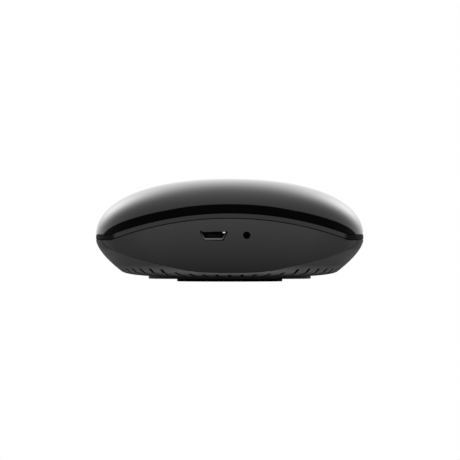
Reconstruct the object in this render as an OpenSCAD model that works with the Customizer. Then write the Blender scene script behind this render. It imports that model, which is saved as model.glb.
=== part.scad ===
// Smart infrared blaster: a round pebble-shaped case with one leaning port facet, standing on a foot disc.
// The origin is at the middle of the foot's underside, +Z is up, and the port side faces -Y.

/* [Body] */
// Widest diameter of the case
body_d = 80; // [72:0.5:96]
// Height of the whole case
body_h = 30.8; // [29:0.1:38]
// Height of the middle of the seam
seam_z = 13.2; // [12.8:0.1:14.5]
// Roundness of the dome's section, where 2 is a plain ellipse
dome_power = 2.25; // [2:0.05:2.5]

/* [Top cover] */
// Wall of the top cover
cover_wall = 2; // [1.6:0.1:2.4]
// Diameter of the screw bosses under the dome
cover_boss_d = 5.6; // [5:0.1:6.2]

/* [Trim ring] */
// Height of the trim strip in the seam
trim_h = 1.3; // [0.9:0.1:1.8]
// Width of the trim ring, from its outer face inwards
trim_w = 1.9; // [1.5:0.1:2.1]
// Open line above and below the trim strip
reveal = 0.2; // [0.1:0.05:0.35]
// How far the trim strip lies behind the case's widest line
trim_sink = 0.1; // [0:0.05:0.3]

/* [Lower housing] */
// Wall of the lower housing
housing_wall = 2; // [1.6:0.1:2.4]
// Radius of the crease between flank and underside
crease_r = 32; // [30.5:0.1:34]
// Height of that crease
crease_z = 2.85; // [2.5:0.05:3.4]
// Height at which the flank's slope would meet the widest line
flank_z = 9; // [8:0.1:10]
// Thickness of the housing's floor over the base plate
floor_t = 1.6; // [1.2:0.1:2]
// Height of the locating rim above the housing's edge
rim_h = 2; // [1:0.1:2.4]
// Thickness of the locating rim
rim_t = 1.2; // [0.9:0.1:1.5]

/* [Vent slots] */
// Number of slots in a full turn
slot_count = 48; // [36:2:60]
// Width of a slot
slot_w = 1; // [0.7:0.05:1.2]
// Radius at which the slots begin
slot_in_r = 25.6; // [25.2:0.1:27]
// Radius at which the slots end
slot_out_r = 33.4; // [31:0.1:35]
// Plain margin between slots and port facet
slot_margin = 1.7; // [1.4:0.1:3]

/* [Port facet] */
// How far the facet cuts into the round plan at seam height
facet_cut = 6.8; // [6:0.1:7.4]
// Radius of the facet's gentle middle curve, seen from above, at seam height
facet_mid_r = 65; // [58:1:75]
// How far its tighter side curves would pass outside the case's round outline
facet_side_out = 1.1; // [0.6:0.1:2]
// Angle of the middle curve on either side of the facet's middle
facet_mid_angle = 15.1; // [13.5:0.1:16.5]
// Lean of the facet, out towards the top
facet_lean = 10.5; // [9:0.5:12]
// Height of the port arch above the middle of the seam
arch_rise = 7.2; // [6:0.05:8]
// Radius of the port arch
arch_r = 102; // [92:1:115]

/* [Foot] */
// Diameter of the base plate
plate_d = 48.4; // [44:0.2:49]
// Thickness of the base plate
plate_t = 1.4; // [1.2:0.1:1.8]
// How far the base plate stands out below the housing
plate_proud = 0.8; // [0.6:0.05:1]
// Diameter of the rubber foot pad
pad_d = 31.4; // [26:0.2:34]
// Thickness of the rubber foot pad
pad_t = 1.4; // [1.2:0.1:1.6]
// How far the foot pad stands out below the base plate
pad_proud = 0.84; // [0.7:0.02:1]

/* [Case screws] */
// Number of screws that hold the two case halves together
screw_count = 3; // [3:1:3]
// Radius of the circle that the case screws stand on
screw_circle_r = 20.5; // [19.5:0.1:21]
// Outer diameter of a case screw's thread
screw_d = 2.5; // [2.2:0.1:2.8]
// Length of a case screw under its head
screw_l = 10; // [8:0.5:11]
// Diameter of a case screw's head
screw_head_d = 4.6; // [4.2:0.1:4.8]
// Height of a case screw's head
screw_head_h = 1.7; // [1.4:0.1:2]

/* [Circuit board] */
// Thickness of the circuit board
board_t = 1.2; // [0.8:0.1:1.6]
// Radial space between the board and the housing's rim
board_gap = 3.4; // [3:0.1:4]
// Radius of the circle that the board's standoffs stand on
standoff_circle_r = 22.5; // [22:0.1:23]
// Diameter of a standoff
standoff_d = 5; // [4.4:0.1:5.4]
// Outer diameter of a board screw's thread
board_screw_d = 2; // [1.8:0.1:2.2]
// Length of a board screw under its head
board_screw_l = 5; // [4:0.5:6]
// Diameter of a board screw's head
board_screw_head_d = 3.8; // [3.4:0.1:4]
// Height of a board screw's head
board_screw_head_h = 1.4; // [1.2:0.1:1.6]

/* [USB socket] */
// Width of the socket's shell
socket_w = 7.5; // [7.4:0.05:7.6]
// Height of the socket's shell
socket_h = 2.6; // [2.5:0.05:2.8]
// Depth of the socket's shell
socket_l = 5.6; // [5:0.1:6]
// Sheet thickness of the shell
socket_t = 0.28; // [0.2:0.02:0.35]
// Width of the shell's narrow lower side
socket_base_w = 5.4; // [4.8:0.1:5.8]
// Height of the shell's upright upper sides
socket_side_h = 0.5; // [0.4:0.05:0.9]
// Distance of the socket's middle to the left of the case's middle
socket_x = 4.75; // [4.5:0.05:6]
// Height of the socket's middle above the middle of the seam
socket_rise = 0.6; // [0.3:0.05:0.9]

/* [Reset switch] */
// Diameter of the reset pinhole
pinhole_d = 2.1; // [1.8:0.1:2.4]
// Distance of the pinhole to the right of the case's middle
pinhole_x = 5.05; // [4.6:0.05:6]
// Width of the switch body
switch_w = 4.5; // [4.2:0.1:4.8]
// Depth of the switch body without its front cover
switch_l = 3; // [2.8:0.1:3.4]
// Diameter of the plunger
plunger_d = 1.5; // [1.3:0.05:1.6]
// Travel of the plunger
plunger_travel = 0.25; // [0.2:0.01:0.3]
// Length of the plunger that shows in front of the switch cover
plunger_reach = 1; // [0.8:0.05:1.1]

/* [Radio module] */
// Length of the radio module's board
wifi_l = 24; // [22:0.5:24]
// Width of the radio module's board
wifi_w = 15; // [14:0.5:16]
// Thickness of the radio module's board
wifi_t = 0.8; // [0.6:0.1:1]
// Length of the shield can
shield_l = 15; // [13:0.5:15.5]
// Width of the shield can
shield_w = 12; // [11:0.5:12.5]
// Height of the shield can
shield_h = 2.3; // [2:0.1:2.6]

/* [Infrared parts] */
// Number of emitters round the rim
led_count = 7; // [7:1:7]
// Angle between neighbouring emitters
led_pitch = 40; // [39:0.5:41]
// Diameter of an emitter's lens
led_d = 5; // [4.6:0.1:5]
// Length of an emitter, from its flange to its tip
led_l = 8.6; // [7.6:0.1:8.8]
// Height of a rim emitter's axis above the board
led_rise = 3.4; // [3.2:0.1:3.6]
// Height of the receiver's body
receiver_h = 7; // [6:0.2:8]
// Width of the receiver's body
receiver_w = 5.8; // [5:0.1:6]
// Thickness of the receiver's body
receiver_t = 3.6; // [3:0.1:4]

/* [Small parts] */
// Diameter of a filter capacitor
can_d = 6.3; // [5:0.1:6.5]
// Height of a filter capacitor
can_h = 5.8; // [5:0.1:7.7]
// Side of the power inductor
inductor_w = 5; // [4:0.1:5.2]
// Height of the power inductor
inductor_h = 2.8; // [2:0.1:3.2]

/* [Hidden] */
led_names = [for (i = [1:led_count + 1]) str("ir_led_", i)];

// Smoothness of the large and of the small round shapes
fine = 144;
small = 48;
// Points along the dome's, the flank's and the underside's curves
dome_steps = 24;
flank_steps = 10;
belly_steps = 4;
// Overrun of cuts, so that they pass clean through a face
over = 1;
// Gap between a part and the seat that it drops into
seat_gap = 0.15;
// Gap round a shaft that slides
slide_gap = 0.05;
// Gap between a screw's thread and its pilot hole
thread_gap = 0.04;
// Gap round a screw or a lead that passes through a hole
pass_gap = 0.2;

// The round case
body_r = body_d / 2;
dome_h = body_h - seam_z;
trim_top_z = seam_z + trim_h / 2;
trim_low_z = seam_z - trim_h / 2;
cover_edge_z = trim_top_z + reveal;
housing_edge_z = trim_low_z - reveal;
trim_out_r = body_r - trim_sink;
trim_in_r = trim_out_r - trim_w;
rim_out_r = trim_in_r - seat_gap;
rim_in_r = rim_out_r - rim_t;

// The port facet and its arch, both of which curve round axes that lie in the case's middle plane
lean_rate = tan(facet_lean);
facet_dist = body_r - facet_cut;
facet_axis_y = facet_mid_r - facet_dist;
// The side curves start with a slight turn, so that they cross the middle curve instead of touching it
side_turn = 1.5;
side_angle = facet_mid_angle + side_turn;
facet_side_r = (body_r + facet_side_out - facet_mid_r * sin(facet_mid_angle)) / (1 - sin(side_angle));
side_axis_x = facet_mid_r * sin(facet_mid_angle) - facet_side_r * sin(side_angle);
side_axis_y = facet_axis_y - facet_mid_r * cos(facet_mid_angle) + facet_side_r * cos(side_angle);
arch_axis_z = seam_z + arch_rise - arch_r;
arch_depth_share = 0.36;
arch_back_y = body_r * arch_depth_share;

// The stack from foot to dome
plate_low_z = pad_proud;
plate_top_z = plate_low_z + plate_t;
belly_z = plate_low_z + plate_proud;
floor_z = plate_top_z + floor_t;
belly_r = plate_d / 2 + seat_gap;
socket_z = seam_z + socket_rise;
board_top_z = socket_z - socket_h / 2;
board_low_z = board_top_z - board_t;
board_r = rim_in_r - board_gap;

// The case screws
boss_split_z = board_low_z - 2 * pass_gap;
screw_land = 2.4;
screw_seat_z = boss_split_z - screw_land;
screw_tip_room = 1;
housing_boss_d = screw_head_d + 2 * (pass_gap + rim_t);
screw_slot_share = 0.5;

// Section of the dome, from below the seam up to its crown, drawn inset by a wall
function dome_points(inset) =
    let (r = body_r - inset, h = dome_h - inset, turn = 90 / dome_steps)
    concat([[0, 0], [r, 0]],
           [for (i = [0:dome_steps])
               let (a = i * turn)
               [r * pow(cos(a), 2 / dome_power), seam_z + h * pow(sin(a), 2 / dome_power)]]);

// Point at share t of the curve that starts at a, heads for b and ends at c
function bend(a, b, c, t) = (1 - t) * (1 - t) * a + 2 * t * (1 - t) * b + t * t * c;

// Section of the lower case: underside, crease and flank, drawn inset by a wall
belly_bulge_share = 0.75;
belly_rise_share = 0.27;
crease_in_share = 0.55;
function underside_points(inset, low_z) =
    let (crease = [crease_r - inset * crease_in_share, crease_z + inset],
         start = [belly_r, low_z],
         mid = [belly_r + (crease_r - belly_r) * belly_bulge_share,
                low_z + (crease[1] - low_z) * belly_rise_share],
         knee = [body_r - inset, flank_z + inset * crease_in_share],
         end = [body_r - inset, seam_z])
    concat([[0, low_z]],
           [for (i = [0:belly_steps - 1]) bend(start, mid, crease, i / belly_steps)],
           [for (i = [0:flank_steps]) bend(crease, knee, end, i / flank_steps)],
           [[0, seam_z]]);

// Everything above, or everything below, a height
module above(z) {
    translate([0, 0, z]) cylinder(r = body_r + over, h = body_h, $fn = fine);
}

module below(z) {
    translate([0, 0, z - body_h]) cylinder(r = body_r + over, h = body_h, $fn = fine);
}

// An upright cone with the facet's lean and a given radius at seam height
module leaning_cone(seam_r) {
    low = -over;
    high = body_h + over;
    translate([0, 0, low])
        cylinder(r1 = seam_r + (low - seam_z) * lean_rate, r2 = seam_r + (high - seam_z) * lean_rate,
                 h = high - low, $fn = 2 * fine);
}

// Everything behind the port facet, drawn inset by a wall. Its plan is a wide middle arc that runs
// into two tighter side arcs, and the round case takes over where they leave its outline.
module behind_facet(inset = 0) {
    back = inset / cos(facet_lean);
    wedge_l = facet_mid_r + body_r;
    wedge_w = wedge_l * tan(facet_mid_angle - side_turn);
    intersection() {
        translate([0, facet_axis_y, 0]) leaning_cone(facet_mid_r - back);
        union() {
            translate([0, facet_axis_y, -over]) linear_extrude(body_h + 2 * over)
                polygon([[0, 0], [-wedge_w, -wedge_l], [wedge_w, -wedge_l]]);
            for (side = [-1, 1])
                translate([side * side_axis_x, side_axis_y, 0]) leaning_cone(facet_side_r - back);
            translate([-body_d, side_axis_y, -over]) cube([2 * body_d, 2 * body_d, body_h + 2 * over]);
        }
    }
}

// The space under the port arch, drawn lower by a drop
module under_arch(drop = 0) {
    translate([0, -arch_back_y, arch_axis_z]) rotate([90, 0, 0])
        cylinder(r = arch_r - drop, h = body_r, $fn = 4 * fine);
}

// Copies a child to each case screw. Screws and standoffs stand midway between two emitters.
module at_screws() {
    for (i = [0:screw_count - 1]) rotate(90 + led_pitch / 2 + i * 360 / screw_count)
        translate([screw_circle_r, 0, 0]) children();
}

// Copies a child to each standoff of the board
module at_standoffs() {
    for (i = [0:screw_count - 1]) rotate(90 - led_pitch / 2 + i * 360 / screw_count)
        translate([standoff_circle_r, 0, 0]) children();
}

module top_cover() {
    color("#101113") difference() {
        union() {
            difference() {
                intersection() {
                    rotate_extrude($fn = fine) polygon(dome_points(0));
                    above(cover_edge_z);
                    behind_facet();
                }
                intersection() {
                    rotate_extrude($fn = fine) polygon(dome_points(cover_wall));
                    behind_facet(cover_wall);
                }
                under_arch();
            }
            intersection() {
                at_screws() translate([0, 0, boss_split_z])
                    cylinder(d = cover_boss_d, h = body_h, $fn = small);
                rotate_extrude($fn = fine) polygon(dome_points(cover_wall / 2));
            }
        }
        at_screws() translate([0, 0, boss_split_z - over])
            cylinder(d = screw_d + 2 * thread_gap, h = over + screw_l - screw_land + screw_tip_room,
                     $fn = small);
    }
}

module trim_ring() {
    color("#2a2a2c") {
        difference() {
            intersection() {
                translate([0, 0, trim_low_z]) cylinder(r = trim_out_r, h = trim_h, $fn = fine);
                behind_facet();
            }
            intersection() {
                translate([0, 0, trim_low_z - over])
                    cylinder(r = trim_in_r, h = trim_h + 2 * over, $fn = fine);
                behind_facet(trim_w);
            }
            under_arch(reveal + trim_h);
        }
        difference() {
            intersection() {
                behind_facet();
                under_arch(reveal);
                translate([0, 0, trim_low_z]) cylinder(r = trim_out_r, h = body_h, $fn = fine);
            }
            behind_facet(trim_w);
            under_arch(reveal + trim_h);
        }
    }
}

// The socket's outline, seen from the port side, grown by a margin
function socket_outline(grow) =
    let (w = socket_w / 2 + grow, b = socket_base_w / 2 + grow / 2,
         top = socket_h / 2 + grow, knee = socket_h / 2 - socket_side_h)
    [[-w, top], [-w, knee], [-b, -top], [b, -top], [w, knee], [w, top]];

// A bar with the socket's outline that runs along Y between two places
module socket_bar(grow, front_y, back_y) {
    translate([-socket_x, back_y, socket_z]) rotate([90, 0, 0])
        linear_extrude(back_y - front_y) polygon(socket_outline(grow));
}

// Place of the facet's middle stretch, along Y, at a given x and height
function facet_y(x, z, inset = 0) =
    let (r = facet_mid_r - inset / cos(facet_lean) + (z - seam_z) * lean_rate)
    facet_axis_y - sqrt(r * r - x * x);

// A pinhole collar stands behind the port wall
collar_t = 1;
collar_wall = 1;
collar_back_y = facet_y(pinhole_x, socket_z, housing_wall + collar_t / 2);

module vent_slots() {
    slot_top_z = flank_z - housing_wall / 2;
    intersection() {
        for (i = [0:slot_count - 1]) rotate(-90 + i * 360 / slot_count)
            translate([slot_in_r, -slot_w / 2, -over])
                cube([slot_out_r - slot_in_r, slot_w, slot_top_z + over]);
        behind_facet(slot_margin);
    }
}

module lower_housing() {
    // The rim's root and the port wall's root bite into the flank's wall
    root_h = trim_h;
    root_bite = housing_wall / 2;
    color("#38393b") difference() {
        union() {
            difference() {
                intersection() {
                    rotate_extrude($fn = fine) polygon(underside_points(0, belly_z));
                    below(housing_edge_z);
                    behind_facet();
                }
                intersection() {
                    rotate_extrude($fn = fine) polygon(underside_points(housing_wall, floor_z));
                    behind_facet(housing_wall);
                }
            }
            // The port wall under the arch
            difference() {
                intersection() {
                    behind_facet();
                    under_arch(2 * reveal + trim_h);
                    union() {
                        translate([0, 0, housing_edge_z]) cylinder(r = trim_out_r, h = body_h, $fn = fine);
                        translate([0, 0, housing_edge_z - root_h])
                            cylinder(r = body_r - root_bite, h = body_h, $fn = fine);
                    }
                }
                behind_facet(housing_wall);
            }
            // The locating rim inside the seam
            intersection() {
                rotate_extrude($fn = fine) polygon([
                    [rim_in_r, housing_edge_z - root_h], [body_r - root_bite, housing_edge_z - root_h],
                    [body_r - root_bite, housing_edge_z], [rim_out_r, housing_edge_z],
                    [rim_out_r, housing_edge_z + rim_h], [rim_in_r, housing_edge_z + rim_h]]);
                behind_facet(housing_wall + seat_gap);
            }
            at_screws() translate([0, 0, plate_top_z])
                cylinder(d = housing_boss_d, h = boss_split_z - plate_top_z, $fn = small);
            at_standoffs() translate([0, 0, plate_top_z])
                cylinder(d = standoff_d, h = board_low_z - plate_top_z, $fn = small);
            // The collar behind the reset pinhole
            intersection() {
                translate([pinhole_x, collar_back_y, socket_z]) rotate([90, 0, 0])
                    cylinder(d = pinhole_d + 2 * collar_wall, h = body_r, $fn = small);
                behind_facet(housing_wall / 2);
            }
        }
        // Seat of the base plate
        translate([0, 0, -over]) cylinder(r = belly_r, h = plate_top_z + over, $fn = fine);
        vent_slots();
        // Screw heads go up to their seats, and the screws pass on through
        at_screws() {
            translate([0, 0, -over])
                cylinder(d = screw_head_d + 2 * pass_gap, h = screw_seat_z + over, $fn = small);
            cylinder(d = screw_d + 2 * pass_gap, h = body_h, $fn = small);
        }
        at_standoffs() translate([0, 0, board_top_z - board_screw_l - screw_tip_room])
            cylinder(d = board_screw_d + 2 * thread_gap, h = body_h, $fn = small);
        socket_bar(seat_gap, -body_r, facet_y(socket_x, socket_z) + 2 * housing_wall);
        translate([pinhole_x, 0, socket_z]) rotate([90, 0, 0])
            cylinder(d = pinhole_d, h = body_r, $fn = small);
    }
}

module base_plate() {
    edge = plate_proud / 4;
    color("#1d1d1f") difference() {
        translate([0, 0, plate_low_z]) rotate_extrude($fn = fine) polygon([
            [0, 0], [plate_d / 2 - edge, 0], [plate_d / 2, edge], [plate_d / 2, plate_t], [0, plate_t]]);
        translate([0, 0, -over]) cylinder(d = pad_d + 2 * seat_gap, h = over + pad_t, $fn = fine);
    }
}

module foot_pad() {
    edge = pad_proud / 4;
    color("#141414") rotate_extrude($fn = fine) polygon([
        [0, 0], [pad_d / 2 - edge, 0], [pad_d / 2, edge], [pad_d / 2, pad_t], [0, pad_t]]);
}

// A pan-head screw that stands on its head, with a cross cut in it
module screw(d, l, head_d, head_h) {
    slot = d / 4;
    difference() {
        union() {
            cylinder(d = d, h = l - d / 2, $fn = small);
            translate([0, 0, l - d / 2]) cylinder(d1 = d, d2 = d / 3, h = d / 2, $fn = small);
            translate([0, 0, -head_h])
                cylinder(d1 = head_d - head_h / 2, d2 = head_d, h = head_h / 3, $fn = small);
            translate([0, 0, -head_h * 2 / 3]) cylinder(d = head_d, h = head_h * 2 / 3, $fn = small);
        }
        for (turn = [0, 90]) rotate(turn)
            translate([-head_d * screw_slot_share / 2, -slot / 2, -head_h - over])
                cube([head_d * screw_slot_share, slot, over + head_h * screw_slot_share]);
    }
}

module case_screws() {
    color("silver") at_screws() translate([0, 0, screw_seat_z])
        screw(screw_d, screw_l, screw_head_d, screw_head_h);
}

module board_screws() {
    color("silver") at_standoffs() translate([0, 0, board_top_z]) mirror([0, 0, 1])
        screw(board_screw_d, board_screw_l, board_screw_head_d, board_screw_head_h);
}

// Rim emitters fan out from the front, and the last one stands up in the middle
led_tip_gap = 1;
led_tip_r = rim_in_r - led_tip_gap;
led_flange_t = 1;
led_flange_lip = 0.4;
led_flange_d = led_d + 2 * led_flange_lip;
led_axis_z = board_top_z + led_rise;
lead_t = 0.5;
lead_pitch = 2.54;
lead_step = 1.2;
lead_tail = 1;
lead_in_r = led_tip_r - led_l - lead_step;
top_led_y_share = 0.32;
top_led_y = screw_circle_r * top_led_y_share;
top_led_lift = 3;

// Copies children to rim emitter i, whose lens points along +X
module at_rim_led(i) {
    rotate(90 + (i - (led_count + 1) / 2) * led_pitch) children();
}

// An emitter that points along +Z and stands on its flange
module emitter() {
    cylinder(d = led_flange_d, h = led_flange_t, $fn = small);
    cylinder(d = led_d, h = led_l - led_d / 2, $fn = small);
    translate([0, 0, led_l - led_d / 2]) sphere(d = led_d, $fn = small);
}

module ir_led(i) {
    color("#4a4f66")
        if (i <= led_count)
            at_rim_led(i) translate([led_tip_r - led_l, 0, led_axis_z]) rotate([0, 90, 0]) emitter();
        else
            translate([0, top_led_y, board_top_z + top_led_lift]) emitter();
}

// Where each emitter's two leads go through the board, at the given size of hole or wire
module lead_places() {
    for (side = [-1, 1]) {
        for (i = [1:led_count]) at_rim_led(i) translate([lead_in_r, side * lead_pitch / 2, 0]) children();
        translate([side * lead_pitch / 2, top_led_y, 0]) children();
    }
}

module led_leads() {
    color("silver") {
        for (side = [-1, 1]) {
            for (i = [1:led_count]) at_rim_led(i) translate([lead_in_r, side * lead_pitch / 2, 0]) {
                translate([-lead_t / 2, -lead_t / 2, board_low_z - lead_tail])
                    cube([lead_t, lead_t, led_axis_z + lead_t / 2 - board_low_z + lead_tail]);
                translate([-lead_t / 2, -lead_t / 2, led_axis_z - lead_t / 2])
                    cube([lead_step + lead_t / 2, lead_t, lead_t]);
            }
            translate([side * lead_pitch / 2 - lead_t / 2, top_led_y - lead_t / 2, board_low_z - lead_tail])
                cube([lead_t, lead_t, board_top_z + top_led_lift - board_low_z + lead_tail]);
        }
    }
}

// The receiver faces the front, and its three pins go through the board
receiver_x_share = 0.49;
receiver_y_share = 0.65;
receiver_x = screw_circle_r * receiver_x_share;
receiver_y = screw_circle_r * receiver_y_share;
receiver_lift = 2;
receiver_pin_pitch = receiver_w / 3;
receiver_lens_share = 0.35;

module at_receiver_pins() {
    for (i = [-1:1]) translate([receiver_x + i * receiver_pin_pitch, receiver_y, 0]) children();
}

module ir_receiver() {
    lens_r = receiver_w * receiver_lens_share;
    color("#1b1b22") translate([receiver_x, receiver_y, board_top_z + receiver_lift]) {
        translate([-receiver_w / 2, -receiver_t / 2, 0]) cube([receiver_w, receiver_t, receiver_h]);
        translate([0, receiver_t / 2, receiver_h / 2]) sphere(r = lens_r, $fn = small);
    }
}

module ir_receiver_pins() {
    color("silver") at_receiver_pins() translate([-lead_t / 2, -lead_t / 2, board_low_z - lead_tail])
        cube([lead_t, lead_t, board_top_z + receiver_lift - board_low_z + lead_tail]);
}

module main_board() {
    hole_d = lead_t * sqrt(2) + pass_gap;
    color("#1f5c3a") difference() {
        intersection() {
            translate([0, 0, board_low_z]) cylinder(r = board_r, h = board_t, $fn = fine);
            behind_facet(housing_wall + collar_t);
        }
        translate([0, 0, board_low_z - over]) {
            at_screws() cylinder(d = cover_boss_d + 4 * pass_gap, h = board_t + 2 * over, $fn = small);
            at_standoffs() cylinder(d = board_screw_d + 2 * pass_gap, h = board_t + 2 * over, $fn = small);
            lead_places() cylinder(d = hole_d, h = board_t + 2 * over, $fn = small);
            at_receiver_pins() cylinder(d = hole_d, h = board_t + 2 * over, $fn = small);
        }
    }
}

// The socket stands on the board's edge, with its mouth just behind the facet
socket_front_y = facet_y(socket_x, socket_z) + seat_gap;
socket_back_y = socket_front_y + socket_l;
tongue_w = 4.2;
tongue_t = 0.55;
tongue_l = 3.9;
socket_back_t = 0.85;
contact_w = 0.35;
contact_t = 0.12;
contact_pitch = 0.65;
contact_side = 2;

module usb_shell() {
    color("#c9cbce") difference() {
        socket_bar(0, socket_front_y, socket_back_y);
        socket_bar(-socket_t, socket_front_y - over, socket_back_y + over);
    }
}

module usb_tongue() {
    color("#232323") {
        socket_bar(-socket_t, socket_back_y - socket_back_t, socket_back_y);
        translate([-socket_x - tongue_w / 2, socket_back_y - tongue_l, socket_z - tongue_t / 2])
            cube([tongue_w, tongue_l, tongue_t]);
    }
}

module usb_contacts() {
    front = tongue_l - 2 * contact_w;
    color("gold") for (i = [-contact_side:contact_side])
        translate([-socket_x + i * contact_pitch - contact_w / 2, 0, 0]) {
            translate([0, socket_back_y - front, socket_z - tongue_t / 2 - contact_t])
                cube([contact_w, front - socket_back_t, contact_t]);
            translate([0, socket_back_y, board_top_z]) cube([contact_w, contact_w * 2, contact_t]);
        }
}

// The reset switch stands on the board's edge, and its plunger waits behind the pinhole
switch_cover_t = 0.3;
switch_h = 2 * (socket_z - board_top_z);
pocket_d = switch_h - 2 * switch_cover_t;
plunger_flange_t = 0.5;
plunger_flange_gap = 0.3;
dome_flat_t = 0.12;
dome_bulge = 0.25;
plunger_tip_y = collar_back_y + plunger_travel + seat_gap;
cover_front_y = plunger_tip_y + plunger_reach;
base_front_y = cover_front_y + switch_cover_t;
pocket_l = slide_gap + plunger_flange_t + plunger_travel + slide_gap + dome_bulge + dome_flat_t;

// A cylinder that runs along +Y from a place on the plunger's axis
module along_plunger(y, d, l) {
    translate([pinhole_x, y + l, socket_z]) rotate([90, 0, 0]) cylinder(d = d, h = l, $fn = small);
}

module reset_switch_base() {
    color("#202020") difference() {
        translate([pinhole_x - switch_w / 2, base_front_y, board_top_z])
            cube([switch_w, switch_l, switch_h - switch_cover_t]);
        along_plunger(base_front_y - over, pocket_d, pocket_l + over);
    }
}

module reset_switch_cover() {
    color("#b9bcc0") difference() {
        union() {
            translate([pinhole_x - switch_w / 2, cover_front_y, board_top_z])
                cube([switch_w, switch_cover_t, switch_h]);
            translate([pinhole_x - switch_w / 2, cover_front_y, board_top_z + switch_h - switch_cover_t])
                cube([switch_w, switch_cover_t + switch_l, switch_cover_t]);
        }
        along_plunger(cover_front_y - over, plunger_d + 2 * slide_gap, switch_cover_t + 2 * over);
    }
}

module reset_contact_dome() {
    back_y = base_front_y + pocket_l;
    r = pocket_d / 2 - plunger_flange_gap / 2;
    color("#d0d2d4") translate([pinhole_x, back_y, socket_z]) rotate([90, 0, 0]) rotate_extrude($fn = small)
        polygon([[r - dome_bulge, 0], [r, 0], [r, dome_flat_t], [dome_bulge, dome_flat_t + dome_bulge],
                 [0, dome_flat_t + dome_bulge], [0, dome_bulge], [dome_bulge, dome_bulge]]);
}

module reset_plunger() {
    flange_d = pocket_d - 2 * plunger_flange_gap;
    color("#151515") {
        along_plunger(plunger_tip_y, plunger_d,
                      plunger_reach + switch_cover_t + slide_gap + plunger_flange_t);
        along_plunger(base_front_y + slide_gap, flange_d, plunger_flange_t);
    }
}

// The radio module lies flat on the board
wifi_y_share = -0.29;
wifi_y = screw_circle_r * wifi_y_share;
shield_x_share = 0.14;
shield_wall = 0.25;
chip_w = 5;
chip_h = 0.9;
wifi_top_z = board_top_z + wifi_t;

// A box that is centred on its place and stands on z = 0
module block(size) {
    translate([-size[0] / 2, -size[1] / 2, 0]) cube(size);
}

module wifi_board() {
    color("#16324f") translate([0, wifi_y, board_top_z]) block([wifi_l, wifi_w, wifi_t]);
}

module wifi_chip() {
    color("#161616") translate([wifi_l * shield_x_share, wifi_y, wifi_top_z]) block([chip_w, chip_w, chip_h]);
}

module wifi_shield() {
    color("#c3c5c8") translate([wifi_l * shield_x_share, wifi_y, wifi_top_z]) difference() {
        block([shield_l, shield_w, shield_h]);
        translate([0, 0, -over])
            block([shield_l - 2 * shield_wall, shield_w - 2 * shield_wall, shield_h + over - shield_wall]);
    }
}

// Small parts on the board, placed as shares of the screw circle's radius
status_share = [0, 0.71];
regulator_share = [-0.25, -0.89];
inductor_share = [0.37, -0.93];
can_x_share = 0.755;
can_y_share = 0.16;
transistor_r_share = 0.97;
transistor_angles = [48, 132, 28, 152];
capacitor_shares = [[-0.42, 0.26], [-0.15, 0.76], [-0.49, 0.55], [-0.33, 0.42],
                    [0.46, 0.29], [0.09, -0.83], [0.09, -0.95], [-0.8, -0.41]];

module on_board(share) {
    translate([screw_circle_r * share[0], screw_circle_r * share[1], board_top_z]) children();
}

module status_led() {
    size = [2.8, 3.5, 1.2];
    window_d = 2.2;
    window_depth = 0.3;
    color("#e9e6dc") on_board(status_share) difference() {
        block(size);
        translate([0, 0, size[2] - window_depth])
            cylinder(d = window_d, h = window_depth + over, $fn = small);
    }
}

module voltage_regulator() {
    body = [6.5, 3.5, 1.6];
    tab = [3, 1.6, 0.3];
    leg = [0.7, 1.6, 0.3];
    leg_pitch = 2.3;
    color("#1c1c1e") on_board(regulator_share) {
        translate([0, 0, leg[2] / 2]) block([body[0], body[1], body[2] - leg[2] / 2]);
        translate([0, (body[1] + tab[1]) / 2 - leg[2], 0]) block(tab);
        for (i = [-1:1]) translate([i * leg_pitch, leg[2] - (body[1] + leg[1]) / 2, 0]) block(leg);
    }
}

module power_inductor() {
    groove = inductor_h / 4;
    color("#3a3a3d") on_board(inductor_share) difference() {
        union() {
            block([inductor_w, inductor_w, groove]);
            cylinder(d = inductor_w - groove, h = inductor_h, $fn = small);
            translate([0, 0, inductor_h - groove]) block([inductor_w, inductor_w, groove]);
        }
    }
}

module filter_capacitor(side) {
    foot_h = 0.8;
    color("#b4b6ba") on_board([side * can_x_share, can_y_share]) {
        block([can_d, can_d, foot_h]);
        cylinder(d = can_d, h = can_h, $fn = small);
    }
}

module driver_transistors() {
    body = [2.9, 1.3, 1];
    leg = [0.4, 0.6, 0.2];
    leg_side = 0.95;
    color("#1c1c1e") for (a = transistor_angles)
        rotate(a) translate([screw_circle_r * transistor_r_share, 0, board_top_z]) rotate(90) {
            translate([0, 0, leg[2] / 2]) block([body[0], body[1], body[2] - leg[2] / 2]);
            for (s = [-1, 1]) translate([s * leg_side, -(body[1] + leg[1]) / 2 + leg[2], 0]) block(leg);
            translate([0, (body[1] + leg[1]) / 2 - leg[2], 0]) block(leg);
        }
}

// A chip part: a flat block as long as two of its widths
module chip(w, h) {
    block([2 * w, w, h]);
}

module led_resistors() {
    w = 0.8;
    h = 0.45;
    color("#18181a") translate([0, 0, board_top_z])
        for (i = [1:led_count]) at_rim_led(i)
            translate([lead_in_r + lead_step + 2 * w, 0, 0]) rotate(90) chip(w, h);
}

module chip_capacitors() {
    w = 0.8;
    h = 0.7;
    color("#a98f6a") for (share = capacitor_shares) on_board(share) chip(w, h);
}

top_cover();
trim_ring();
lower_housing();
base_plate();
foot_pad();
case_screws();
main_board();
board_screws();
usb_shell();
usb_tongue();
usb_contacts();
reset_switch_base();
reset_switch_cover();
reset_contact_dome();
reset_plunger();
wifi_board();
wifi_chip();
wifi_shield();
for (i = [1:led_count + 1]) ir_led(i);
led_leads();
ir_receiver();
ir_receiver_pins();
status_led();
voltage_regulator();
power_inductor();
filter_capacitor(1);  // filter_capacitor_1
filter_capacitor(-1);  // filter_capacitor_2
driver_transistors();
led_resistors();
chip_capacitors();
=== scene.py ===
from math import cos, pi, radians, sin, tan

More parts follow.
